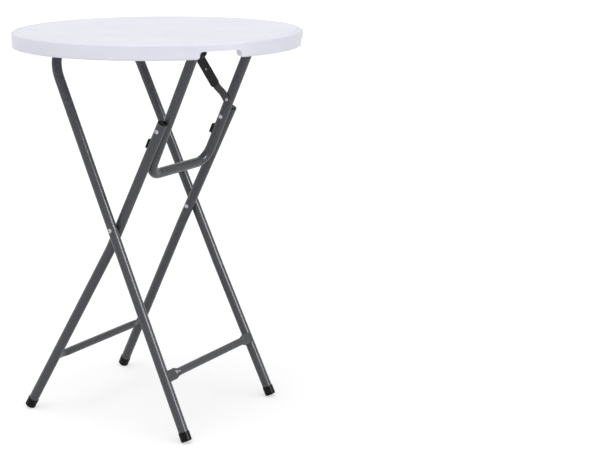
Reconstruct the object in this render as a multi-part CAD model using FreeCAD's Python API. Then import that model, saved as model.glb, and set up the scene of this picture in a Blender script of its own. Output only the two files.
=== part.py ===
# Folding cocktail table: a round blow-moulded top on three nested frames of bent steel tube.
# The outer frame and the lower legs cross like scissors. The upper frame hangs under the top and
# meets the lower legs at an elbow that locks just past straight, braced by a folding stay.
# Millimetres. Origin on the floor under the middle of the top, +Z up, every hinge axis along Y.
# Front is the -Y side, back the +Y side.
import FreeCAD, Part
import math
import os

V = FreeCAD.Vector
Y_AXIS = V(0, 1, 0)
Z_AXIS = V(0, 0, 1)

# Top
table_height = 1100.0
top_diameter = 800.0
rim_depth = 42.0
rim_width = 28.0
rim_edge_radius = 5.0
rim_draft = 4.0
panel_thickness = 15.0
skin = 3.0
top_edge_radius = 6.5
ring_inset = 9.5
ring_width = 4.0
ring_depth = 1.2
notch_angle = 30.4
notch_width = 118.0
notch_depth = 20.0
notch_corner = 9.0

# Tube and running fits
tube_diameter = 28.0
tube_wall = 1.2
side_gap = 1.5
scissor_gap = 2.5
running_gap = 0.3
pin_clearance = 0.05
hinge_clearance = 0.1

# Frames. A share is a place in (x, z) or a length over the height of the hinges, so that the legs
# keep their shape on a table of another height.
hinge_headroom = 11.0
outer_hinge_share = -0.2278
scissor_share = (-0.024, 0.5335)
elbow_share = (0.112, 0.8)
fold_slack = 2.4
outer_half_width = 203.0
outer_taper = 19.0
outer_corner_radius = 100.0
outer_splay_share = 0.3774
outer_foot_share = 0.2132
outer_foot_half_width = 218.0
lower_kink_share = 0.472
lower_foot_share = -0.316
lower_foot_half_width = 223.0
splay_bend_radius = 250.0
lower_end_length = 28.0
pull_bar_share = 0.3585
pull_bar_corner = 45.0
hinge_stub_length = 48.0

# Crossbars. The offset is square to the leg, towards the middle of the table.
crossbar_diameter = 22.0
crossbar_wall = 1.2
crossbar_paddle = 32.0
crossbar_paddle_thickness = 8.0
crossbar_paddle_length = 38.0
crossbar_flare = 13.0
outer_crossbar_height = 172.0
outer_crossbar_offset = 10.0
lower_crossbar_height = 167.0
lower_crossbar_offset = 2.0

# Feet and plugs
cap_wall = 1.6
cap_length = 27.0
cap_floor = 5.0
cap_edge_radius = 3.0
cap_flat = 0.5
plug_thickness = 4.0
plug_edge_radius = 3.0
plug_stem = 12.0

# Rivets and washers
rivet_radius = 4.0
rivet_head_radius = 6.5
rivet_head_height = 3.0
rivet_root = 2.4
washer_radius = 10.0
washer_seat = 0.8

# Saddles and their screws
saddle_width = 18.0
saddle_sheet = 2.0
saddle_flange = 16.0
outer_saddle_y = 65.0
upper_saddle_y = 114.0
screw_radius = 2.0
screw_head_radius = 4.0
screw_head_height = 2.4
screw_length = 9.0
screw_pillar_radius = 7.0

# Stop clips
clip_pad = 8.0
clip_grip = 5.0
clip_length = 26.0
clip_distance = 48.0
clip_ear = 4.5
edge_match = 0.01

# Folding stay
stay_hinge_share = 0.0274
stay_arm_share = 0.1679
stay_upper_share = 0.0896
stay_over_centre = 0.6
link_width = 30.0
link_sheet = 2.5
link_depth = 9.0
link_overlap = 54.0
link_end_chamfer = 5.0
strap_width = 22.5
strap_sheet = 3.0
strap_joggle = 10.0
strap_joggle_start = 58.0
strap_joggle_length = 22.0
stay_pin_radius = 3.0
stay_head_radius = 5.0
stay_head_height = 2.2
bracket_sheet = 2.5
bracket_width = 26.0
bracket_base = 26.0

# Places that follow from the sizes above
top_radius = top_diameter / 2
tube_radius = tube_diameter / 2
rim_z = table_height - rim_depth
underside_z = table_height - panel_thickness
hinge_z = underside_z - hinge_headroom - tube_radius
rim_inner_radius = top_radius - rim_width
outer_hinge_x = outer_hinge_share * hinge_z
outer_hinge = (outer_hinge_x, hinge_z)
scissor_pivot = (scissor_share[0] * hinge_z, scissor_share[1] * hinge_z)
elbow_pivot = (elbow_share[0] * hinge_z, elbow_share[1] * hinge_z)
outer_splay_height = outer_splay_share * hinge_z
lower_kink_height = lower_kink_share * hinge_z
outer_foot_x = outer_foot_share * hinge_z
lower_foot_x = lower_foot_share * hinge_z
pull_bar_reach = pull_bar_share * hinge_z
stay_hinge_x = stay_hinge_share * hinge_z
stay_arm_reach = stay_arm_share * hinge_z
stay_upper_length = stay_upper_share * hinge_z
outer_top_half_width = outer_half_width - outer_taper
taper_share = (scissor_pivot[1] - outer_splay_height) / (hinge_z - outer_splay_height)
outer_pivot_y = outer_half_width - outer_taper * taper_share
lower_half_width = outer_pivot_y - tube_diameter - scissor_gap
upper_half_width = lower_half_width - tube_diameter - side_gap


def between(a, b):
    """Length from one (x, z) point to another."""
    return math.hypot(b[0] - a[0], b[1] - a[1])


def unit(a, b):
    """Unit (x, z) direction from one point to another."""
    length = between(a, b)
    return ((b[0] - a[0]) / length, (b[1] - a[1]) / length)


def along(point, direction, distance):
    """The (x, z) point a distance away."""
    return (point[0] + direction[0] * distance, point[1] + direction[1] * distance)


def at_height(a, b, z):
    """The (x, z) point where the line through two points reaches a height."""
    share = (z - a[1]) / (b[1] - a[1])
    return (a[0] + (b[0] - a[0]) * share, z)


def at(point, y):
    """An (x, z) point as a vector at a given y."""
    return V(point[0], y, point[1])


# The upper hinge lies where the elbow comes up to hinge height with the links folded along each other.
outer_link = between(outer_hinge, scissor_pivot)
lower_link = between(scissor_pivot, elbow_pivot)
folded_elbow_x = outer_hinge_x + outer_link - lower_link + fold_slack
elbow_drop = hinge_z - elbow_pivot[1]
upper_hinge_x = (elbow_pivot[0] ** 2 + elbow_drop ** 2 - folded_elbow_x ** 2) / (
    2 * (elbow_pivot[0] - folded_elbow_x))
upper_hinge = (upper_hinge_x, hinge_z)
outer_down = unit(outer_hinge, scissor_pivot)
lower_up = unit(scissor_pivot, elbow_pivot)
upper_down = unit(upper_hinge, elbow_pivot)


def rounded_path(points, radii):
    """A wire of straight runs joined by tangent arcs, one radius per inner point."""
    edges = []
    start = points[0]
    for index, radius in enumerate(radii):
        corner = points[index + 1]
        back = points[index].sub(corner).normalize()
        ahead = points[index + 2].sub(corner).normalize()
        half_turn = (math.pi - back.getAngle(ahead)) / 2
        reach = radius * math.tan(half_turn)
        enter = corner.add(back * reach)
        leave = corner.add(ahead * reach)
        middle = corner.add(back.add(ahead).normalize() * (radius / math.cos(half_turn) - radius))
        edges.append(Part.LineSegment(start, enter).toShape())
        edges.append(Part.Arc(enter, middle, leave).toShape())
        start = leave
    edges.append(Part.LineSegment(start, points[-1]).toShape())
    return Part.Wire(edges)


def bar(points, radii, radius):
    """A solid round bar bent along the points."""
    ring = Part.Wire(Part.makeCircle(radius, points[0], points[1].sub(points[0])))
    return rounded_path(points, radii).makePipeShell([ring], True, False)


def rod(centre, radius, low_y, high_y):
    """A solid cylinder along Y through an (x, z) point."""
    return Part.makeCylinder(radius, high_y - low_y, at(centre, low_y), Y_AXIS)


def turned(outline, base, axis):
    """Revolve (radius, height) lines and arcs about an axis; an arc is given as (middle, end)."""
    edges = []
    start = V(outline[0][0], 0, outline[0][1])
    for step in outline[1:]:
        if isinstance(step[0], tuple):
            middle = V(step[0][0], 0, step[0][1])
            end = V(step[1][0], 0, step[1][1])
            edges.append(Part.Arc(start, middle, end).toShape())
        else:
            end = V(step[0], 0, step[1])
            edges.append(Part.LineSegment(start, end).toShape())
        start = end
    solid = Part.Face(Part.Wire(edges)).revolve(V(0, 0, 0), Z_AXIS, 360)
    solid.Placement = FreeCAD.Placement(base, FreeCAD.Rotation(Z_AXIS, axis))
    return solid


def quarter(centre, radius, end_degrees):
    """Middle and end of an anticlockwise quarter arc about a (radius, height) centre."""
    end = math.radians(end_degrees)
    points = []
    for angle in (end - math.pi / 4, end):
        points.append((centre[0] + radius * math.cos(angle), centre[1] + radius * math.sin(angle)))
    return tuple(points)


def domed_head(base, outward, radius, height, root=0.0):
    """A rivet head with a spherical crown; the root lengthens it inward so that it can be seated."""
    sphere = (radius ** 2 + height ** 2) / (2 * height)
    middle_angle = math.asin(radius / sphere) / 2
    middle = (sphere * math.sin(middle_angle), height - sphere + sphere * math.cos(middle_angle))
    outline = [(0, -root), (radius, -root)]
    if root > 0:
        outline.append((radius, 0))
    outline += [(middle, (0, height)), (0, -root)]
    return turned(outline, base, outward)


def both_sides(make):
    """Front and back copies of a piece as one group."""
    return Part.makeCompound([make(-1), make(1)])


# Top: one hollow moulding, turned, with a notch in the rim on each side for the folded legs.
def notch(side, grow):
    """The notch's tool: an S-ended opening across the rim, grown to leave a skin round it."""
    half = notch_width / 2 + grow
    ceiling = rim_z + notch_depth + grow
    floor = rim_z + grow
    upper = notch_corner + grow
    lower = notch_corner - grow
    slant = math.sqrt(0.5)
    right = [
        V(half + lower, 0, floor - rim_depth),
        V(half + lower, 0, floor),
        V(half + lower * (1 - slant), 0, floor + lower * (1 - slant)),
        V(half, 0, floor + lower),
        V(half, 0, ceiling - upper),
        V(half - upper * (1 - slant), 0, ceiling - upper * (1 - slant)),
        V(half - upper, 0, ceiling),
    ]
    left = [V(-p.x, p.y, p.z) for p in right]
    edges = []
    for index in (0, -1):
        edges.append(Part.LineSegment(left[index], right[index]).toShape())
    for p in (right, left):
        edges.append(Part.LineSegment(p[0], p[1]).toShape())
        edges.append(Part.Arc(p[1], p[2], p[3]).toShape())
        edges.append(Part.LineSegment(p[3], p[4]).toShape())
        edges.append(Part.Arc(p[4], p[5], p[6]).toShape())
    face = Part.Face(Part.Wire(Part.__sortEdges__(edges)))
    tool = face.extrude(V(0, 3 * rim_width, 0))
    tool.translate(V(0, top_radius - 2 * rim_width, 0))
    tool.rotate(V(0, 0, 0), Z_AXIS, side * notch_angle - 90)
    return tool


def moulding_outline():
    """Outer section of the top, as radius and height."""
    edge = rim_edge_radius
    edge_centre = top_radius - top_edge_radius
    ring_radius = edge_centre - ring_inset
    return [
        (0, underside_z),
        (rim_inner_radius - rim_draft, underside_z),
        (rim_inner_radius, rim_z + edge),
        quarter((rim_inner_radius + edge, rim_z + edge), edge, 270),
        (top_radius - edge, rim_z),
        quarter((top_radius - edge, rim_z + edge), edge, 360),
        (top_radius, table_height - top_edge_radius),
        quarter((edge_centre, table_height - top_edge_radius), top_edge_radius, 90),
        (ring_radius + ring_width / 2, table_height),
        (ring_radius, table_height - ring_depth),
        (ring_radius - ring_width / 2, table_height),
        (0, table_height),
        (0, underside_z),
    ]


def cavity_outline():
    """Section of the hollow inside the top, one skin in from the outside."""
    inner = rim_inner_radius + skin
    return [
        (0, underside_z + skin),
        (inner - rim_draft, underside_z + skin),
        (inner, rim_z + rim_edge_radius),
        (inner + rim_edge_radius, rim_z + skin),
        (top_radius - skin - rim_edge_radius, rim_z + skin),
        (top_radius - skin, rim_z + rim_edge_radius),
        (top_radius - skin, table_height - top_edge_radius),
        (top_radius - top_edge_radius, table_height - skin),
        (0, table_height - skin),
        (0, underside_z + skin),
    ]


def saddle_places():
    """Hinge point and y of each saddle."""
    return {
        "outer_saddle_front": (outer_hinge, -outer_saddle_y),
        "outer_saddle_back": (outer_hinge, outer_saddle_y),
        "upper_saddle_front": (upper_hinge, -upper_saddle_y),
        "upper_saddle_back": (upper_hinge, upper_saddle_y),
    }


saddle_bore = tube_radius + hinge_clearance
saddle_outer = saddle_bore + saddle_sheet
saddle_screw_reach = saddle_outer + saddle_flange / 2
saddle_screws_at = []
for hinge, y in saddle_places().values():
    for side in (-1, 1):
        saddle_screws_at.append((hinge[0] + side * saddle_screw_reach, y))

# Stay: places of its three pivots, and the directions of its two pieces.
stay_hinge = (stay_hinge_x, hinge_z)
stay_arm_pivot = along(upper_hinge, upper_down, stay_arm_reach)
stay_span = between(stay_hinge, stay_arm_pivot)
stay_line = unit(stay_hinge, stay_arm_pivot)
stay_side = (-stay_line[1], stay_line[0])
stay_reach = math.sqrt(stay_upper_length ** 2 - stay_over_centre ** 2)
stay_middle = along(along(stay_hinge, stay_line, stay_reach), stay_side, stay_over_centre)
strap_length = between(stay_middle, stay_arm_pivot)
strap_arm_y = upper_half_width - tube_radius - running_gap - strap_sheet
strap_link_y = strap_arm_y - strap_joggle
link_y = strap_link_y - running_gap - link_sheet
bracket_y = link_y - running_gap - bracket_sheet
bracket_screws_at = []
for side in (-1, 1):
    bracket_screws_at.append((stay_hinge_x + side * bracket_width / 4, bracket_y - bracket_base / 2))
screws_at = saddle_screws_at + bracket_screws_at


def screw_hole(place):
    """The hole one screw fills in the top."""
    return Part.makeCylinder(screw_radius, screw_length, V(place[0], place[1], underside_z))


def tabletop():
    """The moulding with its hollow, notches, tube seats and screw holes."""
    solid = turned(moulding_outline(), V(0, 0, 0), Z_AXIS)
    hollow = turned(cavity_outline(), V(0, 0, 0), Z_AXIS)
    for side in (-1, 1):
        solid = solid.cut(notch(side, 0))
        hollow = hollow.cut(notch(side, skin))
    for place in screws_at:
        pillar = Part.makeCylinder(screw_pillar_radius, panel_thickness, V(place[0], place[1], underside_z))
        hollow = hollow.cut(pillar)
    for hinge, y in saddle_places().values():
        height = underside_z - hinge_z
        corner = V(hinge[0] - tube_radius, y - saddle_width / 2, hinge_z)
        seat = Part.makeBox(tube_diameter, saddle_width, height, corner)
        lower_part = Part.makeBox(tube_diameter, saddle_width, tube_radius / 2, corner)
        seat = seat.cut(rod(hinge, saddle_bore, y - saddle_width, y + saddle_width)).cut(lower_part)
        solid = solid.fuse(seat)
    solid = solid.cut(hollow)
    for place in screws_at:
        solid = solid.cut(screw_hole(place))
    return solid.removeSplitter()


def saddle(hinge, y):
    """A pressed strap round the lower half of a hinge tube, flanged against the top."""
    height = underside_z - hinge_z
    flange_end = saddle_outer + saddle_flange
    right = [
        V(saddle_bore, 0, 0),
        V(saddle_bore, 0, height),
        V(flange_end, 0, height),
        V(flange_end, 0, height - saddle_sheet),
        V(saddle_outer, 0, height - saddle_sheet),
        V(saddle_outer, 0, 0),
    ]
    edges = []
    for mirror in (1, -1):
        side = [V(mirror * p.x, 0, p.z) for p in right]
        for a, b in zip(side, side[1:]):
            edges.append(Part.LineSegment(a, b).toShape())
    for radius in (saddle_bore, saddle_outer):
        edges.append(Part.Arc(V(-radius, 0, 0), V(0, 0, -radius), V(radius, 0, 0)).toShape())
    face = Part.Face(Part.Wire(Part.__sortEdges__(edges)))
    solid = face.extrude(V(0, saddle_width, 0))
    solid.translate(V(hinge[0], y - saddle_width / 2, hinge_z))
    for side in (-1, 1):
        place = V(hinge[0] + side * saddle_screw_reach, y, underside_z - 2 * saddle_sheet)
        solid = solid.cut(Part.makeCylinder(screw_radius, 3 * saddle_sheet, place))
    return solid


def screws(places, sheet):
    """Pan-head screws up through a sheet into the top."""
    made = []
    for x, y in places:
        head = domed_head(V(x, y, underside_z - sheet), V(0, 0, -1), screw_head_radius, screw_head_height)
        shank = Part.makeCylinder(screw_radius, screw_length + sheet, V(x, y, underside_z - sheet))
        made.append(shank.fuse(head).removeSplitter())
    return Part.makeCompound(made)


# Feet: where a leg's axis ends, so that the cap's edge meets the floor.
def foot_end(knee, foot):
    """End of the leg axis at the cap's outer face, on the line from the knee to the foot."""
    down = foot.sub(knee).normalize()
    tilt = math.acos(-down.z)
    cap_radius = tube_radius + cap_wall
    rise = (cap_radius - cap_edge_radius) * math.sin(tilt)
    rise += cap_edge_radius * (1 - math.cos(tilt)) - cap_flat
    return foot.sub(down * (rise / math.cos(tilt))), down


def foot_cap(end, down):
    """A cup over the end of a tube, with a rounded edge worn flat where it stands."""
    radius = tube_radius + cap_wall
    edge = cap_edge_radius
    outline = [
        (0, 0),
        (radius - edge, 0),
        quarter((radius - edge, edge), edge, 360),
        (radius, cap_length),
        (tube_radius, cap_length),
        (tube_radius, cap_floor),
        (0, cap_floor),
        (0, 0),
    ]
    cup = turned(outline, end, down * -1)
    corner = V(end.x - 2 * radius, end.y - 2 * radius, -cap_length)
    below = Part.makeBox(4 * radius, 4 * radius, cap_length, corner)
    return cup.cut(below)


# Outer frame: an inverted U, its cross tube turning under the top.
outer_knee = at_height(outer_hinge, scissor_pivot, outer_splay_height)
outer_ends = {}
for side in (-1, 1):
    foot_point = V(outer_foot_x, side * outer_foot_half_width, 0)
    outer_ends[side] = foot_end(at(outer_knee, side * outer_half_width), foot_point)


def outer_frame_bar(radius):
    """The outer frame's centre line as a bar."""
    points = []
    for side in (-1, 1):
        end, down = outer_ends[side]
        leg = [
            end.sub(down * cap_floor),
            at(outer_knee, side * outer_half_width),
            at(outer_hinge, side * outer_top_half_width),
        ]
        points += leg if side < 0 else leg[::-1]
    radii = [splay_bend_radius, outer_corner_radius, outer_corner_radius, splay_bend_radius]
    return bar(points, radii, radius)


# Lower legs: from the elbow down to the kink and out to the foot.
lower_knee = at_height(elbow_pivot, scissor_pivot, lower_kink_height)
lower_top = along(elbow_pivot, lower_up, lower_end_length - plug_thickness)
lower_ends = {}
for side in (-1, 1):
    foot_point = V(lower_foot_x, side * lower_foot_half_width, 0)
    lower_ends[side] = foot_end(at(lower_knee, side * lower_half_width), foot_point)


def lower_leg_bar(side, radius):
    """One lower leg's centre line as a bar."""
    end, down = lower_ends[side]
    points = [
        at(lower_top, side * lower_half_width),
        at(lower_knee, side * lower_half_width),
        end.sub(down * cap_floor),
    ]
    return bar(points, [splay_bend_radius], radius)


# Upper frame: a U whose arms end on two short hinge tubes and whose closed end is the pull bar.
pull_bar = along(upper_hinge, upper_down, pull_bar_reach)


def upper_frame_bar(radius):
    """The upper frame's centre line as a bar."""
    points = [
        at(upper_hinge, -upper_half_width),
        at(pull_bar, -upper_half_width),
        at(pull_bar, upper_half_width),
        at(upper_hinge, upper_half_width),
    ]
    return bar(points, [pull_bar_corner, pull_bar_corner], radius)


tube_bore = tube_radius - tube_wall
outer_solid = outer_frame_bar(tube_radius)
lower_solids = {side: lower_leg_bar(side, tube_radius) for side in (-1, 1)}
upper_solid = upper_frame_bar(tube_radius)
upper_hinge_half = upper_half_width + tube_radius


def pivot_hole(centre, radius, side, half_width):
    """A cross hole through one tube of a frame."""
    middle = side * half_width
    return rod(centre, radius, middle - tube_diameter, middle + tube_diameter)


def outer_frame_tube():
    """The outer frame with the holes of its scissor rivets."""
    solid = outer_solid.cut(outer_frame_bar(tube_bore))
    for side in (-1, 1):
        solid = solid.cut(rod(scissor_pivot, rivet_radius, *sorted((0, side * 2 * outer_half_width))))
    return solid


def lower_leg(side):
    """A lower leg, running on the scissor rivet and riveted at the elbow."""
    solid = lower_solids[side].cut(lower_leg_bar(side, tube_bore))
    solid = solid.cut(pivot_hole(scissor_pivot, rivet_radius + pin_clearance, side, lower_half_width))
    return solid.cut(pivot_hole(elbow_pivot, rivet_radius, side, lower_half_width))


def upper_frame_tube():
    """The U, coped to the hinge tubes and drilled for the elbow rivets and the stay."""
    solid = upper_solid.cut(upper_frame_bar(tube_bore))
    solid = solid.cut(rod(upper_hinge, tube_radius, -2 * upper_hinge_half, 2 * upper_hinge_half))
    for side in (-1, 1):
        solid = solid.cut(pivot_hole(elbow_pivot, rivet_radius, side, upper_half_width))
    return solid.cut(pivot_hole(stay_arm_pivot, stay_pin_radius, 1, upper_half_width))


def upper_hinge_tube(side):
    """The short tube that one arm of the upper frame turns on."""
    ends = sorted((side * upper_hinge_half, side * (upper_hinge_half - hinge_stub_length)))
    return rod(upper_hinge, tube_radius, *ends).cut(rod(upper_hinge, tube_bore, *ends))


def leg_axis_y(knee, knee_y, end, z):
    """Half width of a splayed leg at a height."""
    share = (knee[1] - z) / (knee[1] - end.z)
    return knee_y + (abs(end.y) - knee_y) * share


def crossbar(knee, knee_y, ends, height, offset, legs):
    """A tube between two legs, its ends flattened along the leg and coped to it."""
    end = ends[1][0]
    foot = (end.x, end.z)
    leg_down = unit(knee, foot)
    towards = (-leg_down[1], leg_down[0])
    centre = along(at_height(knee, foot, height), towards, offset)
    half = leg_axis_y(knee, knee_y, end, centre[1])
    flat_from = half - crossbar_paddle_length
    straight = flat_from - crossbar_flare
    turn = FreeCAD.Rotation(V(leg_down[0], 0, leg_down[1]), V(0, 0, 0), Y_AXIS, "ZXY")

    def shape(inset):
        radius = crossbar_diameter / 2 - inset
        solid = rod(centre, radius, -straight, straight)
        for side in (-1, 1):
            round_end = Part.Wire(Part.makeCircle(radius, at(centre, side * straight), Y_AXIS))
            half_thickness = crossbar_paddle_thickness / 2
            oval = Part.Ellipse(V(0, 0, 0), crossbar_paddle / 2 - inset, half_thickness - inset)
            flat_end = Part.Wire(oval.toShape())
            flat_end.Placement = FreeCAD.Placement(at(centre, side * flat_from), turn)
            flare = Part.makeLoft([round_end, flat_end], True)
            paddle = Part.Face(flat_end).extrude(V(0, side * crossbar_paddle_length, 0))
            solid = solid.fuse([flare, paddle])
        return solid

    solid = shape(0).cut(shape(crossbar_wall))
    for leg in legs:
        solid = solid.cut(leg)
    return solid.removeSplitter()


def leg_plug(side):
    """A plug in the top end of a lower leg."""
    edge = plug_edge_radius
    outline = [
        (0, -plug_stem),
        (tube_bore, -plug_stem),
        (tube_bore, 0),
        (tube_radius, 0),
        (tube_radius, plug_thickness - edge),
        quarter((tube_radius - edge, plug_thickness - edge), edge, 90),
        (0, plug_thickness),
        (0, -plug_stem),
    ]
    return turned(outline, at(lower_top, side * lower_half_width), V(lower_up[0], 0, lower_up[1]))


def tube_rivet_head(pivot, face_y, outward, root=0.0):
    """One of the large rivet heads, with a root long enough to be fitted to a round tube."""
    return domed_head(at(pivot, face_y), outward, rivet_head_radius, rivet_head_height, root)


# Rivets. The scissor rivets belong to the outer frame. Each elbow rivet is two halves that meet
# between the tubes: one in the lower leg, one in the upper frame.
def scissor_rivet(side):
    """Head seated on the outer tube, shank through both tubes, tail clear of the inner one."""
    outward = V(0, side, 0)
    outer_face = side * (outer_pivot_y + tube_radius)
    tail_face = side * (lower_half_width - tube_radius - running_gap)
    head = tube_rivet_head(scissor_pivot, outer_face, outward, rivet_root).cut(outer_solid)
    tail = tube_rivet_head(scissor_pivot, tail_face, outward * -1)
    shank = rod(scissor_pivot, rivet_radius, *sorted((outer_face, tail_face)))
    return shank.fuse([head, tail]).removeSplitter()


def scissor_washer(side):
    """A spacer between the crossing tubes, fitted to the outer one."""
    near = side * (outer_pivot_y - tube_radius + washer_seat)
    far = side * (lower_half_width + tube_radius + running_gap)
    ring = rod(scissor_pivot, washer_radius, *sorted((near, far)))
    ring = ring.cut(rod(scissor_pivot, rivet_radius, *sorted((near, far))))
    return ring.cut(outer_solid)


def elbow_head(side):
    """The outer half of an elbow rivet, in the lower leg."""
    outer_face = side * (lower_half_width + tube_radius)
    inner_face = side * (lower_half_width - tube_radius)
    head = tube_rivet_head(elbow_pivot, outer_face, V(0, side, 0), rivet_root)
    shank = rod(elbow_pivot, rivet_radius, *sorted((outer_face, inner_face)))
    return shank.fuse(head.cut(lower_solids[side])).removeSplitter()


def elbow_tail(side):
    """The inner half of an elbow rivet, in the upper frame."""
    outer_face = side * (upper_half_width + tube_radius)
    inner_face = side * (upper_half_width - tube_radius)
    tail = tube_rivet_head(elbow_pivot, inner_face, V(0, -side, 0), rivet_root)
    shank = rod(elbow_pivot, rivet_radius, *sorted((outer_face, inner_face)))
    return shank.fuse(tail.cut(upper_solid)).removeSplitter()


def stop_clip(side):
    """A pad on the upper frame's arm; its ear stops the lower leg when the elbow is past straight."""
    bend = math.acos(min(1.0, lower_up[0] * -upper_down[0] + lower_up[1] * -upper_down[1]))
    ear_inside = tube_radius + running_gap + (clip_distance + clip_length / 2) * math.sin(bend)
    low_end = -clip_length / 2
    ear_outside = ear_inside + clip_ear
    tube = Part.makeCylinder(tube_radius, clip_length, V(0, 0, low_end))
    ear_reach = tube_diameter + side_gap + tube_radius / 2
    ear = Part.makeBox(clip_ear, ear_reach, clip_length, V(ear_inside, -ear_reach, low_end))
    pad_start = tube_radius - clip_grip
    pad = Part.makeBox(ear_outside - pad_start, clip_pad, clip_length, V(pad_start, 0, low_end))
    clip = ear.fuse(pad.cut(tube)).removeSplitter()
    long_edges = []
    for edge in clip.Edges:
        runs_full_length = abs(edge.Length - clip_length) < edge_match
        if runs_full_length and abs(edge.CenterOfMass.x - ear_outside) < edge_match:
            long_edges.append(edge)
    clip = clip.makeFillet(clip_ear / 3, long_edges)
    if side > 0:
        clip = clip.mirror(V(0, 0, 0), Y_AXIS)
    back = V(upper_down[1], 0, -upper_down[0])
    turn = FreeCAD.Rotation(back, Y_AXIS, V(0, 0, 0), "XYZ")
    place = at(along(elbow_pivot, upper_down, clip_distance), side * upper_half_width)
    clip.Placement = FreeCAD.Placement(place, turn)
    return clip


# Stay: pieces are drawn flat, u along the piece from its pivot and v across it, then turned into place.
def stay_placed(solid, pivot, direction, y):
    """Turn a piece drawn in u = X, v = Z into its direction and move it to its pivot."""
    turn = FreeCAD.Rotation(V(direction[0], 0, direction[1]), Y_AXIS, V(0, 0, 0), "XYZ")
    solid.Placement = FreeCAD.Placement(at(pivot, y), turn)
    return solid


def flat_plate(points, sheet):
    """A plate from its (u, v) corners, as thick as the sheet along +Y."""
    wire = Part.makePolygon([V(u, 0, v) for u, v in points + points[:1]])
    return Part.Face(wire).extrude(V(0, sheet, 0))


link_direction = unit(stay_hinge, stay_middle)
strap_direction = unit(stay_middle, stay_arm_pivot)


def stay_link():
    """The upper link: a plate with a web along the edge that stops the strap."""
    half = link_width / 2
    length = stay_upper_length + link_overlap
    cut = link_end_chamfer
    outline = [
        (0, -half),
        (length - cut, -half),
        (length, -half + cut),
        (length, half - cut),
        (length - cut, half),
        (0, half),
    ]
    plate = flat_plate(outline, link_sheet)
    plate = plate.fuse(Part.makeCylinder(half, link_sheet, V(0, 0, 0), Y_AXIS))
    web_start = half + bracket_sheet
    web_corner = V(web_start, 0, -half)
    web = Part.makeBox(length - cut - web_start, link_depth, link_sheet, web_corner)
    solid = plate.fuse(web).removeSplitter()
    for u, radius in ((0, stay_pin_radius + pin_clearance), (stay_upper_length, stay_pin_radius)):
        solid = solid.cut(Part.makeCylinder(radius, 2 * link_sheet, V(u, -link_sheet / 2, 0), Y_AXIS))
    return stay_placed(solid, stay_hinge, link_direction, link_y)


def stay_strap():
    """The lower strap: flat in the link, joggled across to the arm of the upper frame."""
    half = strap_width / 2
    shift = strap_joggle
    joggle_end = strap_joggle_start + strap_joggle_length
    tip = strap_length + half
    lower = [(-half, 0), (strap_joggle_start, 0), (joggle_end, shift), (tip, shift)]
    upper = [(u, y + strap_sheet) for u, y in lower]
    wire = Part.makePolygon([V(u, y, -half) for u, y in lower + upper[::-1] + lower[:1]])
    solid = Part.Face(wire).extrude(V(0, 0, strap_width))
    depth = shift + strap_sheet
    ends = flat_plate([(0, -half), (strap_length, -half), (strap_length, half), (0, half)], depth)
    for u in (0, strap_length):
        ends = ends.fuse(Part.makeCylinder(half, depth, V(u, 0, 0), Y_AXIS))
    solid = solid.common(ends)
    for u, radius in ((0, stay_pin_radius + pin_clearance), (strap_length, stay_pin_radius)):
        solid = solid.cut(Part.makeCylinder(radius, shift + 2 * strap_sheet, V(u, -strap_sheet, 0), Y_AXIS))
    return stay_placed(solid, stay_middle, strap_direction, strap_link_y)


def stay_pin(pivot, low_y, high_y):
    """A pin with a domed head at each end."""
    shank = rod(pivot, stay_pin_radius, low_y, high_y)
    heads = [
        domed_head(at(pivot, low_y), V(0, -1, 0), stay_head_radius, stay_head_height),
        domed_head(at(pivot, high_y), Y_AXIS, stay_head_radius, stay_head_height),
    ]
    return shank.fuse(heads).removeSplitter()


def strap_rivet_head():
    """The strap's half of its rivet on the upper frame."""
    head = domed_head(at(stay_arm_pivot, strap_arm_y), V(0, -1, 0), stay_head_radius, stay_head_height)
    shank = rod(stay_arm_pivot, stay_pin_radius, strap_arm_y, strap_arm_y + strap_sheet)
    return shank.fuse(head).removeSplitter()


def strap_rivet_shank():
    """The arm's half of the strap's rivet, flush with the tube."""
    inner_face = upper_half_width - tube_radius
    return rod(stay_arm_pivot, stay_pin_radius, inner_face, inner_face + tube_diameter).common(upper_solid)


def stay_bracket():
    """A pressed angle under the top that carries the stay's upper pin."""
    half = bracket_width / 2
    ear_drop = underside_z - hinge_z
    ear = flat_plate([(-half, 0), (half, 0), (half, ear_drop), (-half, ear_drop)], bracket_sheet)
    ear = ear.fuse(Part.makeCylinder(half, bracket_sheet, V(0, 0, 0), Y_AXIS))
    base_corner = V(-half, bracket_sheet - bracket_base, ear_drop - bracket_sheet)
    base = Part.makeBox(bracket_width, bracket_base, bracket_sheet, base_corner)
    solid = ear.fuse(base).removeSplitter()
    hole_start = V(0, -bracket_sheet / 2, 0)
    solid = solid.cut(Part.makeCylinder(stay_pin_radius, 2 * bracket_sheet, hole_start, Y_AXIS))
    solid.translate(at(stay_hinge, bracket_y))
    for x, y in bracket_screws_at:
        below_base = V(x, y, underside_z - 2 * bracket_sheet)
        solid = solid.cut(Part.makeCylinder(screw_radius, 3 * bracket_sheet, below_base))
    return solid


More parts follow.
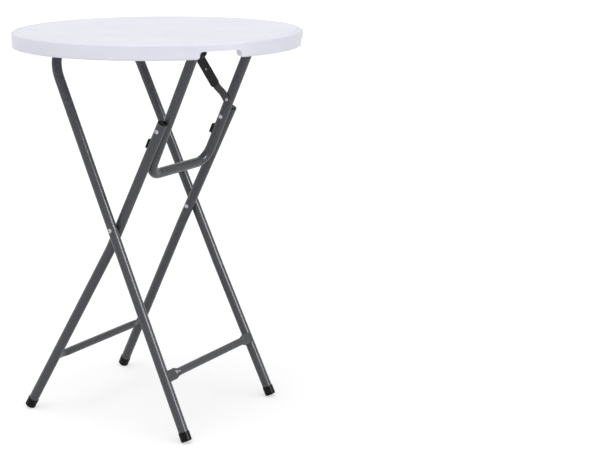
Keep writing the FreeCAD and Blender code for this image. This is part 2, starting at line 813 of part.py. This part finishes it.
pieces = {
    "tabletop": tabletop(),
    "saddle_screws": screws(saddle_screws_at, saddle_sheet),
    "stay_bracket": stay_bracket(),
    "stay_bracket_screws": screws(bracket_screws_at, bracket_sheet),
    "stay_bracket_pin": stay_pin(stay_hinge, bracket_y, link_y + link_sheet + running_gap),
    "outer_frame_tube": outer_frame_tube(),
    "outer_crossbar": crossbar(outer_knee, outer_half_width, outer_ends, outer_crossbar_height,
                               outer_crossbar_offset, [outer_solid]),
    "scissor_rivets": both_sides(scissor_rivet),
    "scissor_washers": both_sides(scissor_washer),
    "lower_crossbar": crossbar(lower_knee, lower_half_width, lower_ends, lower_crossbar_height,
                               lower_crossbar_offset, lower_solids.values()),
    "elbow_rivet_heads": both_sides(elbow_head),
    "upper_frame_tube": upper_frame_tube(),
    "upper_hinge_tube": both_sides(upper_hinge_tube),
    "elbow_rivet_tails": both_sides(elbow_tail),
    "strap_rivet_shank": strap_rivet_shank(),
    "stay_link": stay_link(),
    "stay_middle_rivet": stay_pin(stay_middle, link_y, strap_link_y + strap_sheet + running_gap),
    "stay_strap": stay_strap(),
    "strap_rivet_head": strap_rivet_head(),
}
for name, place in saddle_places().items():
    pieces[name] = saddle(*place)
for side, word in ((-1, "front"), (1, "back")):
    pieces["outer_foot_" + word] = foot_cap(*outer_ends[side])
    pieces["lower_leg_" + word] = lower_leg(side)
    pieces["lower_foot_" + word] = foot_cap(*lower_ends[side])
    pieces["leg_plug_" + word] = leg_plug(side)
    pieces["stop_clip_" + word] = stop_clip(side)

os.makedirs("parts", exist_ok=True)
for name, shape in pieces.items():
    shape.exportStep("parts/" + name + ".step")
    box = shape.BoundBox
    print("%-20s %d solid(s) %9.0f mm3  x %.1f..%.1f y %.1f..%.1f z %.1f..%.1f%s" % (
        name, len(shape.Solids), shape.Volume, box.XMin, box.XMax, box.YMin, box.YMax, box.ZMin, box.ZMax,
        "" if shape.isValid() else "  not valid"))
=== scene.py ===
import math

import bmesh
import bpy
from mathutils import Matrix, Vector
from mathutils.bvhtree import BVHTree


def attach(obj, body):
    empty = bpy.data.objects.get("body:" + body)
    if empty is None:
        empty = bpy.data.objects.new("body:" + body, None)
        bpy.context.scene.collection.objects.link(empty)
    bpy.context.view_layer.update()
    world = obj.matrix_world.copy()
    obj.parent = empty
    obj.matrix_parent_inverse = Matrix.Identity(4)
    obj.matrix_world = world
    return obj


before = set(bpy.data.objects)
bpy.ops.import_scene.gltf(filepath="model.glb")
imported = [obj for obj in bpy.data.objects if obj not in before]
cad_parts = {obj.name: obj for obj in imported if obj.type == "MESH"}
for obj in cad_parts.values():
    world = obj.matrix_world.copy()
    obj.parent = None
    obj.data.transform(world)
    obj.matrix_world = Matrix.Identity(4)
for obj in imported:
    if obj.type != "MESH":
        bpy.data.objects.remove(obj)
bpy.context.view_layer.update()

# Axes, as places in a point
X, Y, Z = range(3)

# The ring moulded into the top, repeated from the part, in metres, and how far the painted shade in its
# groove dims the white
RING_RADIUS = 0.384
RING_SPREAD = 0.0035
RING_DIM = 0.9

# Colours of the materials, the darkest and the lightest of each
TOP_WHITE = ((0.79, 0.79, 0.888), (0.825, 0.825, 0.922))
PAINT_GREY = ((0.057, 0.0595, 0.066), (0.071, 0.074, 0.082))
MOULDED_BLACK = ((0.003, 0.003, 0.0033), (0.007, 0.007, 0.0074))
LINK_BLACK = ((0.008, 0.008, 0.009), (0.02, 0.02, 0.022))
SADDLE_BLACK = ((0.003, 0.003, 0.0033), (0.008, 0.008, 0.0088))
STRAP_GREY = ((0.038, 0.038, 0.04), (0.062, 0.062, 0.066))
ZINC_GREY = ((0.4, 0.41, 0.42), (0.56, 0.57, 0.58))
PLASTIC_IOR = 1.5
WHITE = (1.0, 1.0, 1.0, 1.0)

# Corners closer than this are one corner: in the solids' meshes and in the new pieces, in metres
SOLID_JOIN = 1e-6
PIECE_JOIN = 1e-7

# Crimped centre of a rivet: (radius, height above the crown) for a head of the given radius, in metres.
# The outline starts with the floor of the hollow, which is black as painted shade.
CRIMP_HEAD = 0.0065
CRIMP_OUTLINE = [(0.0, 0.00003), (0.00145, 0.00003), (0.0017, 0.00012), (0.0021, 0.00014),
                 (0.0025, 0.00005), (0.003, -0.00045), (0.0032, -0.0008), (0.0, -0.0008)]
CRIMP_STEPS = 24

# Cross recess of a screw, in metres
CROSS_ARMS = 4
CROSS_REACH = 0.0019
CROSS_HALF = 0.00042
CROSS_PROUD = 0.00005
CROSS_SINK = 0.0009

# Weld beads, with lengths in metres. A bar's corners within the seam's reach of a leg are its seam.
SEAM_REACH = 0.0002
SEAM_PLACES = 40
BEAD_STEPS = 136
BEAD_RADIUS = 0.0013
BEAD_SIDES = 8
BEAD_RIPPLES = 17
BEAD_RIPPLE = 0.18

# Camera: where the photograph was taken from, in metres and radians. The image is 600 wide and 468 high.
CAMERA_PLACE = (2.383, -3.247, 1.487)
CAMERA_PITCH = 0.2376
CAMERA_YAW = 0.5357
FOCAL_PIXELS = 1441.3
IMAGE_WIDTH = 600
SENSOR_WIDTH = 36.0

# Light: angles in degrees, directions that the light comes from, places in metres
SKY_STRENGTH = 0.42
KEY_STRENGTH = 0.68
KEY_ANGLE = 55.0
KEY_FROM = (-0.1, -0.1, 1.0)
FILL_STRENGTH = 1.7
FILL_ANGLE = 140.0
FILL_FROM = (0.75, -0.75, 0.5)
SIDE_POWER = 320.0
SIDE_SIZE = (2.2, 2.2)
SIDE_PLACE = (5.3, 0.2, 2.75)
SIDE_TARGET = (0.05, 0.0, 0.55)

# Floor: its colour for the light that it returns, and the glow and share of light that the camera sees
FLOOR_SIZE = 60.0
FLOOR_COLOUR = (0.8, 0.8, 0.805)
FLOOR_GLOW = 0.51
FLOOR_SHARE = 0.62

# Which material each CAD node takes
NODE_MATERIALS = {
    "top_plastic": ["tabletop"],
    "frame_paint": ["outer_frame_tube", "outer_crossbar", "lower_leg_front", "lower_leg_back",
                    "lower_crossbar", "upper_frame_tube", "upper_hinge_tube"],
    "black_plastic": ["outer_foot_front", "outer_foot_back", "lower_foot_front", "lower_foot_back",
                      "leg_plug_front", "leg_plug_back", "stop_clip_front", "stop_clip_back",
                      "scissor_washers"],
    "black_steel": ["stay_link"],
    "saddle_steel": ["stay_bracket", "outer_saddle_front", "outer_saddle_back", "upper_saddle_front",
                     "upper_saddle_back"],
    "strap_steel": ["stay_strap", "stay_middle_rivet"],
    "zinc_steel": ["scissor_rivets", "elbow_rivet_heads", "elbow_rivet_tails", "strap_rivet_shank",
                   "strap_rivet_head", "stay_bracket_pin", "saddle_screws", "stay_bracket_screws"],
}


class Graph:
    """A material's node tree with short calls for adding and joining nodes."""

    def __init__(self, name):
        self.material = bpy.data.materials.new(name)
        self.material.use_nodes = True
        self.tree = self.material.node_tree
        self.shader = self.tree.nodes["Principled BSDF"]
        self.place = self.add("ShaderNodeTexCoord").outputs["Object"]

    def add(self, kind, settings=None, **values):
        """A node, with socket values by name and other settings in a dict."""
        node = self.tree.nodes.new(kind)
        for key, value in (settings or {}).items():
            setattr(node, key, value)
        for key, value in values.items():
            node.inputs[key.replace("_", " ")].default_value = value
        return node

    def join(self, source, target):
        """A link from an output to an input."""
        self.tree.links.new(source, target)

    def noise(self, size, detail=2.0, roughness=0.5, place=None):
        """Noise whose features are about one size, in metres."""
        node = self.add("ShaderNodeTexNoise", Scale=1.0 / size, Detail=detail, Roughness=roughness)
        self.join(place or self.place, node.inputs["Vector"])
        return node.outputs["Fac"]

    def stretched(self, factors):
        """Object coordinates scaled by axis."""
        node = self.add("ShaderNodeMapping", Scale=factors)
        self.join(self.place, node.inputs["Vector"])
        return node.outputs["Vector"]

    def cells(self, size):
        """Smooth cells of one size, in metres."""
        node = self.add("ShaderNodeTexVoronoi", {"feature": "SMOOTH_F1"}, Scale=1.0 / size, Smoothness=0.6)
        self.join(self.place, node.inputs["Vector"])
        return node.outputs["Distance"]

    def spread(self, source, low, high, start=0.3, end=0.7):
        """A number that runs between two values as the source runs from start to end."""
        node = self.add("ShaderNodeMapRange")
        for key, value in (("From Min", start), ("From Max", end), ("To Min", low), ("To Max", high)):
            node.inputs[key].default_value = value
        self.join(source, node.inputs["Value"])
        return node.outputs["Result"]

    def blend(self, source, colours, start, end):
        """A colour that runs between two colours as the source runs from start to end."""
        node = self.add("ShaderNodeValToRGB")
        for element, position, colour in zip(node.color_ramp.elements, (start, end), colours):
            element.position = position
            element.color = (*colour, 1.0)
        self.join(source, node.inputs["Fac"])
        return node.outputs["Color"]

    def from_axis(self):
        """Distance from the upright axis of the table, in metres."""
        node = self.add("ShaderNodeVectorMath", {"operation": "LENGTH"})
        self.join(self.stretched((1.0, 1.0, 0.0)), node.inputs[0])
        return node.outputs["Value"]

    def away(self, source, middle):
        """How far a number is from a middle value."""
        less = self.add("ShaderNodeMath", {"operation": "SUBTRACT"})
        less.inputs[1].default_value = middle
        self.join(source, less.inputs[0])
        size = self.add("ShaderNodeMath", {"operation": "ABSOLUTE"})
        self.join(less.outputs["Value"], size.inputs[0])
        return size.outputs["Value"]

    def dimmed(self, colour, share):
        """A colour times a number."""
        node = self.add("ShaderNodeVectorMath", {"operation": "SCALE"})
        self.join(colour, node.inputs[0])
        self.join(share, node.inputs["Scale"])
        return node.outputs["Vector"]

    def bump(self, source, depth, strength=1.0, under=None):
        """A bump of a depth in metres, on top of another bump if one is given."""
        node = self.add("ShaderNodeBump", Strength=strength, Distance=depth)
        self.join(source, node.inputs["Height"])
        if under is not None:
            self.join(under, node.inputs["Normal"])
        return node.outputs["Normal"]

    def set(self, **values):
        """Values on the shader's own sockets."""
        for key, value in values.items():
            self.shader.inputs[key.replace("_", " ")].default_value = value

    def drive(self, socket, source):
        """A node's output on one of the shader's sockets."""
        self.join(source, self.shader.inputs[socket])

    def clouded_roughness(self, size, low, high):
        """Roughness that runs between two values in patches of one size."""
        clouds = self.noise(size, detail=3.0, roughness=0.6)
        self.drive("Roughness", self.spread(clouds, low, high))


def top_plastic():
    """White blow-moulded plastic: fine pebble grain, faint cloudiness, a soft sheen, painted shade in the
    moulded ring.
    """
    g = Graph("top_plastic")
    cloud = g.noise(0.16, detail=3.0, roughness=0.55)
    white = g.blend(cloud, TOP_WHITE, start=0.35, end=0.65)
    # Painted shade: the white is darkened along the moulded ring's groove
    ring = g.away(g.from_axis(), RING_RADIUS)
    groove_shade = g.spread(ring, low=RING_DIM, high=1.0, start=0.0, end=RING_SPREAD)
    g.drive("Base Color", g.dimmed(white, groove_shade))
    g.clouded_roughness(0.05, low=0.32, high=0.42)
    pebble = g.bump(g.cells(0.0022), depth=0.00008, strength=0.35)
    g.drive("Normal", g.bump(g.noise(0.035), depth=0.00025, strength=0.25, under=pebble))
    g.set(Specular_IOR_Level=0.35, IOR=PLASTIC_IOR)
    return g.material


def frame_paint():
    """Dark grey powder coat: orange peel, small mottling, a satin highlight."""
    g = Graph("frame_paint")
    mottle = g.noise(0.006, detail=4.0, roughness=0.65)
    g.drive("Base Color", g.blend(mottle, PAINT_GREY, start=0.3, end=0.7))
    g.clouded_roughness(0.02, low=0.23, high=0.3)
    grain = g.bump(g.noise(0.0012), depth=0.000012, strength=0.5)
    peel = g.noise(0.004, detail=1.0)
    g.drive("Normal", g.bump(peel, depth=0.00004, strength=0.25, under=grain))
    g.set(Specular_IOR_Level=0.32, IOR=PLASTIC_IOR)
    return g.material


def black_plastic():
    """Black moulded plastic with a fine matt grain and lighter rubbed patches."""
    g = Graph("black_plastic")
    rub = g.noise(0.007, detail=4.0, roughness=0.7)
    g.drive("Base Color", g.blend(rub, MOULDED_BLACK, start=0.35, end=0.75))
    g.clouded_roughness(0.004, low=0.22, high=0.34)
    g.drive("Normal", g.bump(g.noise(0.0007), depth=0.00002, strength=0.5))
    g.set(Specular_IOR_Level=0.12)
    return g.material


def painted_sheet(name, colours, gloss):
    """Painted sheet steel: thin paint, slightly rippled, a little rubbed."""
    g = Graph(name)
    rub = g.noise(0.005, detail=5.0, roughness=0.7)
    g.drive("Base Color", g.blend(rub, colours, start=0.4, end=0.8))
    g.clouded_roughness(0.012, low=0.3, high=0.46)
    g.drive("Normal", g.bump(g.noise(0.003), depth=0.00008, strength=0.4))
    g.set(Specular_IOR_Level=gloss)
    return g.material


def black_steel():
    """Black sheet steel of the stay's link; the same black is painted shade in the hollows of the rivets and
    screws.
    """
    return painted_sheet("black_steel", LINK_BLACK, gloss=0.25)


def saddle_steel():
    """Dull black sheet steel of the saddles and the stay's bracket."""
    return painted_sheet("saddle_steel", SADDLE_BLACK, gloss=0.05)


def strap_steel():
    """Dark grey painted steel of the stay's lower strap and middle rivet."""
    return painted_sheet("strap_steel", STRAP_GREY, gloss=0.4)


def zinc_steel():
    """Bright zinc-plated steel: faint clouding and fine turning marks."""
    g = Graph("zinc_steel")
    cloud = g.noise(0.003, detail=3.0, roughness=0.6)
    g.drive("Base Color", g.blend(cloud, ZINC_GREY, start=0.3, end=0.7))
    g.clouded_roughness(0.0015, low=0.26, high=0.42)
    marks = g.noise(0.0012, place=g.stretched((1.0, 0.15, 1.0)))
    g.drive("Normal", g.bump(marks, depth=0.00004, strength=0.4))
    g.set(Metallic=1.0)
    return g.material


MATERIALS = {make.__name__: make() for make in
             (top_plastic, frame_paint, black_plastic, black_steel, saddle_steel, strap_steel, zinc_steel)}
for material_name, node_names in NODE_MATERIALS.items():
    for node_name in node_names:
        node_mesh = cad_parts[node_name].data
        node_mesh.materials.clear()
        node_mesh.materials.append(MATERIALS[material_name])


# Small pieces that are too fine for the solids
def add_piece(name, points, faces, body, slot):
    """A smooth mesh that rides on a body and takes its finish from a slot."""
    mesh = bpy.data.meshes.new(name)
    mesh.from_pydata(points, [], faces)
    for polygon in mesh.polygons:
        polygon.use_smooth = True
    mesh.materials.append(MATERIALS[slot])
    piece = bpy.data.objects.new(name, mesh)
    bpy.context.collection.objects.link(piece)
    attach(piece, body)
    return piece


def weld_corners(piece):
    """Join the corners that lie on each other, and turn the faces outward."""
    shape = bmesh.new()
    shape.from_mesh(piece.data)
    bmesh.ops.remove_doubles(shape, verts=shape.verts, dist=PIECE_JOIN)
    bmesh.ops.recalc_face_normals(shape, faces=shape.faces)
    shape.to_mesh(piece.data)
    shape.free()


def solids_of(name):
    """The corners of each separate solid in a CAD node, in metres."""
    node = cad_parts[name]
    shape = bmesh.new()
    shape.from_mesh(node.data)
    bmesh.ops.remove_doubles(shape, verts=shape.verts, dist=SOLID_JOIN)
    left = set(shape.verts)
    groups = []
    for start in shape.verts:
        if start not in left:
            continue
        left.remove(start)
        group = [start]
        for corner in group:
            for edge in corner.link_edges:
                other = edge.other_vert(corner)
                if other in left:
                    left.remove(other)
                    group.append(other)
        groups.append([node.matrix_world @ corner.co for corner in group])
    shape.free()
    return groups


def middle_and_half(corners, axis):
    """The middle of the corners along an axis, and half of their extent."""
    values = [corner[axis] for corner in corners]
    return (min(values) + max(values)) / 2, (max(values) - min(values)) / 2


def crimped_centres(name, node, body, both_ways):
    """A rolled edge round a hollow on the crown of each outward rivet head in a node, with the hollow's
    floor black as painted shade.
    """
    points = []
    faces = []
    dark = []
    for corners in solids_of(node):
        x, half = middle_and_half(corners, X)
        y, reach = middle_and_half(corners, Y)
        z, _ = middle_and_half(corners, Z)
        scale = half / CRIMP_HEAD
        outward = -1 if y < 0 or not both_ways else 1
        first = len(points)
        for radius, height in CRIMP_OUTLINE:
            for step in range(CRIMP_STEPS):
                turn = 2 * math.pi * step / CRIMP_STEPS
                points.append((x + scale * radius * math.cos(turn),
                               y + outward * (reach + scale * height),
                               z + scale * radius * math.sin(turn)))
        for row in range(len(CRIMP_OUTLINE) - 1):
            for step in range(CRIMP_STEPS):
                near = first + row * CRIMP_STEPS
                ahead = (step + 1) % CRIMP_STEPS
                face = (near + step, near + ahead, near + CRIMP_STEPS + ahead, near + CRIMP_STEPS + step)
                faces.append(face if outward > 0 else face[::-1])
                dark.append(row == 0)
    piece = add_piece(name, points, faces, body, "zinc_steel")
    # The floors of the hollows take black steel as painted shade
    piece.data.materials.append(MATERIALS["black_steel"])
    for polygon, in_painted_shade in zip(piece.data.polygons, dark):
        polygon.material_index = int(in_painted_shade)
    weld_corners(piece)


for name, node, body, both_ways in (
        ("scissor_rivet_crimps", "scissor_rivets", "outer_frame", True),
        ("elbow_rivet_crimps", "elbow_rivet_heads", "lower_legs", True),
        ("strap_rivet_crimp", "strap_rivet_head", "stay_strap", False),
        ("stay_middle_crimp", "stay_middle_rivet", "stay_link", False)):
    crimped_centres(name, node, body, both_ways)


def cross_recesses(name, node, body):
    """A black cross in the head of each screw of a node, which is driven upward: painted shade of the cross
    recess.
    """
    arm = [(CROSS_REACH, -CROSS_HALF), (CROSS_REACH, CROSS_HALF), (CROSS_HALF, CROSS_HALF)]
    outline = []
    for _ in range(CROSS_ARMS):
        outline += arm
        arm = [(-across, along) for along, across in arm]
    count = len(outline)
    points = []
    faces = []
    for corners in solids_of(node):
        x, _ = middle_and_half(corners, X)
        y, _ = middle_and_half(corners, Y)
        z, reach = middle_and_half(corners, Z)
        first = len(points)
        for height in (-reach - CROSS_PROUD, -reach + CROSS_SINK):
            points += [(x + along, y + across, z + height) for along, across in outline]
        faces.append(tuple(first + step for step in reversed(range(count))))
        faces.append(tuple(first + count + step for step in range(count)))
        for step in range(count):
            ahead = (step + 1) % count
            faces.append((first + step, first + ahead, first + count + ahead, first + count + step))
    # Black steel as painted shade of the recess
    piece = add_piece(name, points, faces, body, "black_steel")
    for polygon in piece.data.polygons:
        polygon.use_smooth = False


cross_recesses("saddle_screw_recesses", "saddle_screws", "tabletop")
cross_recesses("bracket_screw_recesses", "stay_bracket_screws", "tabletop")


def seam(corners, leg):
    """Where the skin of a bar's end meets a leg: a closed line of points round the bar."""
    touching = []
    for corner in corners:
        _, _, _, distance = leg.find_nearest(corner)
        if distance < SEAM_REACH:
            touching.append(corner)
    middle = sum(touching, Vector()) / len(touching)
    ring = {}
    for corner in touching:
        offset = corner - middle
        turn = math.atan2(offset.z, offset.x) / (2 * math.pi)
        place = int((turn + 0.5) * SEAM_PLACES) % SEAM_PLACES
        if place not in ring or offset.length > (ring[place] - middle).length:
            ring[place] = corner
    return middle, [ring[place] for place in sorted(ring)]


def evenly(line, count):
    """Evenly spaced points along a closed line."""
    following = line[1:] + line[:1]
    lengths = [(after - before).length for before, after in zip(line, following)]
    points = []
    index = 0
    passed = 0.0
    for step in range(count):
        place = sum(lengths) * step / count
        while passed + lengths[index] < place:
            passed += lengths[index]
            index += 1
        points.append(line[index].lerp(following[index], (place - passed) / lengths[index]))
    return points


def smoothed(line):
    """A closed line with each point drawn to the middle of its neighbours."""
    return [(line[index - 1] + 2 * corner + line[(index + 1) % len(line)]) / 4
            for index, corner in enumerate(line)]


def weld_beads(name, bar, legs, body):
    """A rippled bead round each end of a bar, where it is welded to a leg."""
    points = []
    faces = []
    bar_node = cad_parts[bar]
    corners = [bar_node.matrix_world @ corner.co for corner in bar_node.data.vertices]
    for side, leg in zip((-1, 1), legs):
        leg_tree = BVHTree.FromObject(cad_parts[leg], bpy.context.evaluated_depsgraph_get())
        middle, line = seam([corner for corner in corners if corner.y * side > 0], leg_tree)
        line = smoothed(evenly(line, BEAD_STEPS))
        first = len(points)
        for step, place in enumerate(line):
            forward = (line[(step + 1) % BEAD_STEPS] - line[step - 1]).normalized()
            outward = place - middle
            outward = (outward - forward * outward.dot(forward)).normalized()
            upward = forward.cross(outward)
            ripple = math.sin(2 * math.pi * BEAD_RIPPLES * step / BEAD_STEPS)
            radius = BEAD_RADIUS * (1 + BEAD_RIPPLE * ripple)
            for spoke in range(BEAD_SIDES):
                turn = 2 * math.pi * spoke / BEAD_SIDES
                points.append(place + radius * (math.cos(turn) * outward + math.sin(turn) * upward))
        for step in range(BEAD_STEPS):
            near = first + step * BEAD_SIDES
            far = first + (step + 1) % BEAD_STEPS * BEAD_SIDES
            for spoke in range(BEAD_SIDES):
                ahead = (spoke + 1) % BEAD_SIDES
                faces.append((near + spoke, far + spoke, far + ahead, near + ahead))
    weld_corners(add_piece(name, points, faces, body, "frame_paint"))


weld_beads("outer_crossbar_welds", "outer_crossbar", ("outer_frame_tube", "outer_frame_tube"), "outer_frame")
weld_beads("lower_crossbar_welds", "lower_crossbar", ("lower_leg_front", "lower_leg_back"), "lower_legs")
weld_beads("hinge_tube_welds", "upper_hinge_tube", ("upper_frame_tube", "upper_frame_tube"), "upper_frame")


def seen_share(tree):
    """1 where a camera, glossy or transmission ray looks, else 0."""
    path = tree.nodes.new("ShaderNodeLightPath")
    total = path.outputs["Is Camera Ray"]
    for name in ("Is Glossy Ray", "Is Transmission Ray"):
        either = tree.nodes.new("ShaderNodeMath")
        either.operation = "MAXIMUM"
        tree.links.new(total, either.inputs[0])
        tree.links.new(path.outputs[name], either.inputs[1])
        total = either.outputs["Value"]
    return total


def floor_material():
    """Lit as a pale floor, and seen by the camera as white with the shadow on it."""
    material = bpy.data.materials.new("floor")
    material.use_nodes = True
    tree = material.node_tree
    tree.nodes.clear()
    output = tree.nodes.new("ShaderNodeOutputMaterial")
    lit = tree.nodes.new("ShaderNodeBsdfDiffuse")
    lit.inputs["Color"].default_value = (*FLOOR_COLOUR, 1.0)
    pale = tree.nodes.new("ShaderNodeBsdfDiffuse")
    pale.inputs["Color"].default_value = (FLOOR_SHARE, FLOOR_SHARE, FLOOR_SHARE, 1.0)
    glow = tree.nodes.new("ShaderNodeEmission")
    glow.inputs["Color"].default_value = WHITE
    glow.inputs["Strength"].default_value = FLOOR_GLOW
    both = tree.nodes.new("ShaderNodeAddShader")
    choice = tree.nodes.new("ShaderNodeMixShader")
    tree.links.new(pale.outputs["BSDF"], both.inputs[0])
    tree.links.new(glow.outputs["Emission"], both.inputs[1])
    tree.links.new(seen_share(tree), choice.inputs["Fac"])
    tree.links.new(lit.outputs["BSDF"], choice.inputs[1])
    tree.links.new(both.outputs["Shader"], choice.inputs[2])
    tree.links.new(choice.outputs["Shader"], output.inputs["Surface"])
    return material


floor_mesh = bpy.data.meshes.new("floor")
floor_half = FLOOR_SIZE / 2
floor_corners = [(floor_half * x, floor_half * y, 0) for x, y in ((-1, -1), (1, -1), (1, 1), (-1, 1))]
floor_mesh.from_pydata(floor_corners, [], [(0, 1, 2, 3)])
floor = bpy.data.objects.new("floor", floor_mesh)
floor.data.materials.append(floor_material())
bpy.context.collection.objects.link(floor)

# Sky: white where it is seen, a plain level of light elsewhere
world = bpy.data.worlds.new("sky")
bpy.context.scene.world = world
world.use_nodes = True
tree = world.node_tree
background = tree.nodes["Background"]
background.inputs["Color"].default_value = WHITE
level = tree.nodes.new("ShaderNodeMapRange")
level.inputs["To Min"].default_value = SKY_STRENGTH
level.inputs["To Max"].default_value = 1.0
tree.links.new(seen_share(tree), level.inputs["Value"])
tree.links.new(level.outputs["Result"], background.inputs["Strength"])


def sun(name, strength, angle, come_from):
    """A wide, soft lamp far away in one direction."""
    lamp = bpy.data.lights.new(name, "SUN")
    lamp.energy = strength
    lamp.angle = math.radians(angle)
    holder = bpy.data.objects.new(name, lamp)
    holder.rotation_euler = Vector(come_from).to_track_quat("Z", "Y").to_euler()
    bpy.context.collection.objects.link(holder)
    return holder


# The key is overhead. The fill is the light of a whole pale room, so it has no highlight of its own.
sun("key", KEY_STRENGTH, KEY_ANGLE, KEY_FROM)
fill = sun("fill", FILL_STRENGTH, FILL_ANGLE, FILL_FROM)
fill.visible_glossy = False

# A square softbox on the right, seen only in reflections, which draws the highlight along the legs
side_lamp = bpy.data.lights.new("side", "AREA")
side_lamp.shape = "RECTANGLE"
side_lamp.size, side_lamp.size_y = SIDE_SIZE
side_lamp.energy = SIDE_POWER
side = bpy.data.objects.new("side", side_lamp)
side.location = SIDE_PLACE
side.rotation_euler = (Vector(SIDE_PLACE) - Vector(SIDE_TARGET)).to_track_quat("Z", "Y").to_euler()
side.visible_diffuse = False
bpy.context.collection.objects.link(side)

# Camera
camera_data = bpy.data.cameras.new("camera")
camera_data.sensor_fit = "HORIZONTAL"
camera_data.sensor_width = SENSOR_WIDTH
camera_data.lens = FOCAL_PIXELS / IMAGE_WIDTH * SENSOR_WIDTH
camera = bpy.data.objects.new("camera", camera_data)
camera.location = CAMERA_PLACE
camera.rotation_euler = (math.pi / 2 - CAMERA_PITCH, 0.0, CAMERA_YAW)
bpy.context.collection.objects.link(camera)
bpy.context.scene.camera = camera
bpy.context.scene.view_settings.view_transform = "Standard"

bpy.context.view_layer.update()
